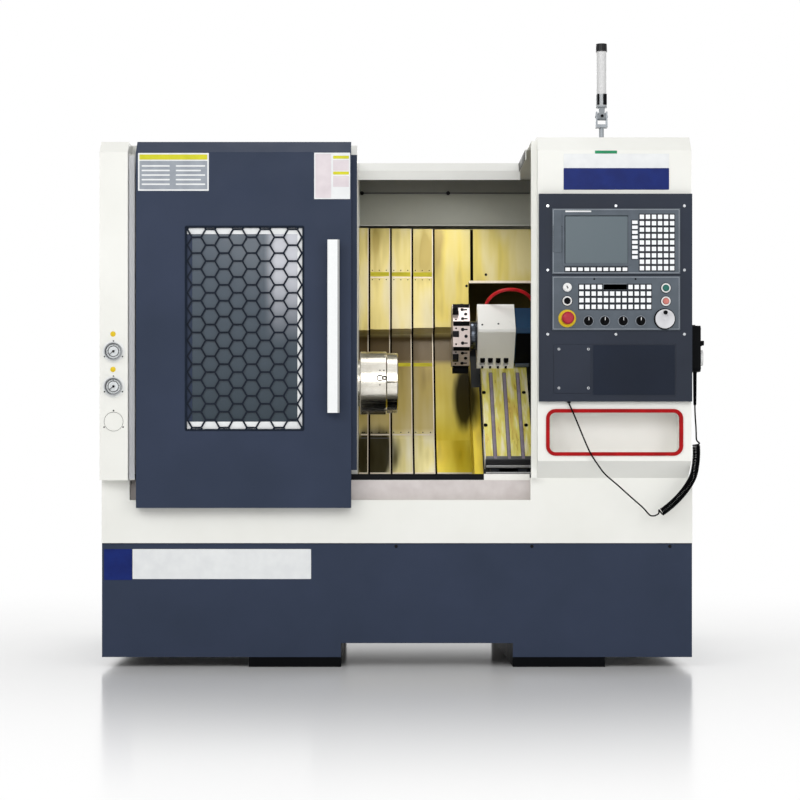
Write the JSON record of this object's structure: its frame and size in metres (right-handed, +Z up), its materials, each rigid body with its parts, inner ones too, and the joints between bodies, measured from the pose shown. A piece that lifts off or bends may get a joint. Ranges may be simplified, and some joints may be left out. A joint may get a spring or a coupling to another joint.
{
  "type": "cnc turning lathe",
  "caption": "Slant-bed turning lathe with a full sheet enclosure, sliding front door with a honeycomb guard, chuck, tool turret on slides, control cabinet, hand pendant and signal tower.",
  "frame": {"origin": "on the floor under the middle of the machine's overall box, without the pendant cord", "axes": "+X along the spindle to the operator's right, +Y away from the operator, +Z up"},
  "size_m": [1.981, 1.448, 2.07],
  "materials": {
    "black_paint": "semi-matt",
    "slate_paint": "fine texture paint",
    "ivory_paint": "fine texture paint",
    "guard_paint": "smooth paint",
    "cast_grey": "painted casting",
    "ground_steel": "ground",
    "cover_steel": "rolled sheet",
    "chuck_steel": "turned and hardened",
    "chrome": "polished",
    "red_rubber": "satin",
    "red_hose": "satin",
    "black_rubber": "satin",
    "plate_black": "fine texture paint",
    "unit_grey": "moulded",
    "screen_glass": "anti-glare",
    "key_plastic": "satin",
    "yellow_plastic": "moulded",
    "red_plastic": "moulded",
    "green_plastic": "moulded",
    "orange_plastic": "moulded",
    "white_plastic": "moulded",
    "black_plastic": "moulded",
    "clear_glass": "clear",
    "smoke_glass": "laminated",
    "turret_white": "smooth paint",
    "motor_blue": "smooth paint",
    "tool_black": "blackened steel"
  },
  "bodies": {
    "root": {"base_casting": "black_paint", "base_skirt": "slate_paint", "slant_bed": "cast_grey", "front_apron": "ivory_paint", "door_rails": "tool_black", "left_end_cover": "ivory_paint", "headstock_guard": "guard_paint", "rear_hood": "ivory_paint", "rear_cover": "ivory_paint", "control_cabinet": "ivory_paint", "niche_trim": "red_rubber", "control_plate": "plate_black", "display_unit": "unit_grey", "display_screen": "screen_glass", "keypads": "key_plastic", "operator_panel": "unit_grey", "estop_collar": "yellow_plastic", "gauge_cases": "chrome", "gauge_glasses": "clear_glass", "pendant_bracket": "black_paint", "pendant_body": "black_plastic", "cable_gland": "black_plastic", "cord_leads": "black_rubber", "cord_coil": "black_rubber", "signal_base": "chrome", "headstock": "cast_grey", "z_rails": "ground_steel", "way_cover_1": "cover_steel"},
    "door": {"door_panel": "slate_paint", "door_mesh": "slate_paint", "door_window": "smoke_glass", "door_handle": "white_plastic"},
    "spindle_body": {"spindle": "ground_steel", "chuck_body": "chuck_steel"},
    "jaw_1": {"chuck_jaw_1": "chuck_steel"},
    "jaw_2": {"chuck_jaw_2": "chuck_steel"},
    "jaw_3": {"chuck_jaw_3": "chuck_steel"},
    "saddle_body": {"saddle": "cast_grey", "saddle_cover": "cover_steel"},
    "cover_2": {"way_cover_2": "cover_steel"},
    "cover_3": {"way_cover_3": "cover_steel"},
    "cover_4": {"way_cover_4": "cover_steel"},
    "cross": {"cross_slide": "ground_steel", "turret_body": "turret_white", "turret_motor": "motor_blue", "turret_hose": "red_hose"},
    "turret": {"turret_disc": "chuck_steel", "turret_tools": "tool_black"},
    "estop": {"estop_button": "red_plastic"},
    "key_lock": {"key_switch": "white_plastic"},
    "power": {"power_button": "white_plastic"},
    "start": {"start_button": "green_plastic"},
    "stop": {"stop_button": "orange_plastic"},
    "knob_1": {"override_knob_1": "black_plastic"},
    "knob_2": {"override_knob_2": "black_plastic"},
    "knob_3": {"override_knob_3": "black_plastic"},
    "knob_4": {"override_knob_4": "black_plastic"},
    "wheel": {"handwheel": "chrome"},
    "pendant_dial": {"pendant_wheel": "white_plastic"},
    "tower": {"signal_tower": "white_plastic"}
  },
  "joints": [
    {"name": "door_slide", "type": "slide", "parent": "root", "child": "door", "axis": [1, 0, 0], "range_m": [0, 0.555]},
    {"name": "spindle_spin", "type": "hinge", "parent": "root", "child": "spindle_body", "pos_m": [-0.1405, -0.176, 0.953], "axis": [1, 0, 0], "continuous": true},
    {"name": "jaw_1_slide", "type": "slide", "parent": "spindle_body", "child": "jaw_1", "axis": [0, -0.5, 0.866], "range_m": [-0.003, 0.003]},
    {"name": "jaw_2_slide", "type": "slide", "parent": "spindle_body", "child": "jaw_2", "axis": [0, -0.5, -0.866], "range_m": [-0.003, 0.003]},
    {"name": "jaw_3_slide", "type": "slide", "parent": "spindle_body", "child": "jaw_3", "axis": [0, 1, 0], "range_m": [-0.003, 0.003]},
    {"name": "saddle_slide", "type": "slide", "parent": "root", "child": "saddle_body", "axis": [1, 0, 0], "range_m": [-0.15, 0.2]},
    {"name": "cover_2_slide", "type": "slide", "parent": "root", "child": "cover_2", "axis": [1, 0, 0], "range_m": [-0.0375, 0.05]},
    {"name": "cover_3_slide", "type": "slide", "parent": "root", "child": "cover_3", "axis": [1, 0, 0], "range_m": [-0.075, 0.1]},
    {"name": "cover_4_slide", "type": "slide", "parent": "root", "child": "cover_4", "axis": [1, 0, 0], "range_m": [-0.1125, 0.15]},
    {"name": "cross_slide_feed", "type": "slide", "parent": "saddle_body", "child": "cross", "axis": [0, 0.7071, 0.7071], "range_m": [-0.11, 0.08]},
    {"name": "turret_index", "type": "hinge", "parent": "cross", "child": "turret", "pos_m": [0.2165, -0.00028, 1.12872], "axis": [1, 0, 0], "continuous": true},
    {"name": "estop_press", "type": "slide", "parent": "root", "child": "estop", "axis": [0, 1, 0], "range_m": [0, 0.004]},
    {"name": "key_turn", "type": "hinge", "parent": "root", "child": "key_lock", "pos_m": [0.5375, -0.682, 1.246], "axis": [0, -1, 0], "range_deg": [0, 90]},
    {"name": "power_press", "type": "slide", "parent": "root", "child": "power", "axis": [0, 1, 0], "range_m": [0, 0.0025], "stiffness_N_per_m": 900},
    {"name": "start_press", "type": "slide", "parent": "root", "child": "start", "axis": [0, 1, 0], "range_m": [0, 0.0025], "stiffness_N_per_m": 900},
    {"name": "stop_press", "type": "slide", "parent": "root", "child": "stop", "axis": [0, 1, 0], "range_m": [0, 0.0025], "stiffness_N_per_m": 900},
    {"name": "knob_1_turn", "type": "hinge", "parent": "root", "child": "knob_1", "pos_m": [0.6065, -0.682, 1.137], "axis": [0, -1, 0], "range_deg": [-135, 135]},
    {"name": "knob_2_turn", "type": "hinge", "parent": "root", "child": "knob_2", "pos_m": [0.6595, -0.682, 1.137], "axis": [0, -1, 0], "range_deg": [-135, 135]},
    {"name": "knob_3_turn", "type": "hinge", "parent": "root", "child": "knob_3", "pos_m": [0.7195, -0.682, 1.137], "axis": [0, -1, 0], "range_deg": [-135, 135]},
    {"name": "knob_4_turn", "type": "hinge", "parent": "root", "child": "knob_4", "pos_m": [0.7765, -0.682, 1.137], "axis": [0, -1, 0], "range_deg": [-135, 135]},
    {"name": "handwheel_turn", "type": "hinge", "parent": "root", "child": "wheel", "pos_m": [0.8545, -0.682, 1.143], "axis": [0, -1, 0], "continuous": true},
    {"name": "pendant_dial_turn", "type": "hinge", "parent": "root", "child": "pendant_dial", "pos_m": [0.9765, -0.62, 1.019], "axis": [1, 0, 0], "continuous": true},
    {"name": "signal_fold", "type": "hinge", "parent": "root", "child": "tower", "pos_m": [0.6665, -0.516, 1.828], "axis": [-1, 0, 0], "range_deg": [0, 90]}
  ],
  "couplings": [
    {"joint": "jaw_2_slide", "follows": "jaw_1_slide", "ratio": 1},
    {"joint": "jaw_3_slide", "follows": "jaw_1_slide", "ratio": 1},
    {"joint": "cover_2_slide", "follows": "saddle_slide", "ratio": 0.25},
    {"joint": "cover_3_slide", "follows": "saddle_slide", "ratio": 0.5},
    {"joint": "cover_4_slide", "follows": "saddle_slide", "ratio": 0.75}
  ]
}
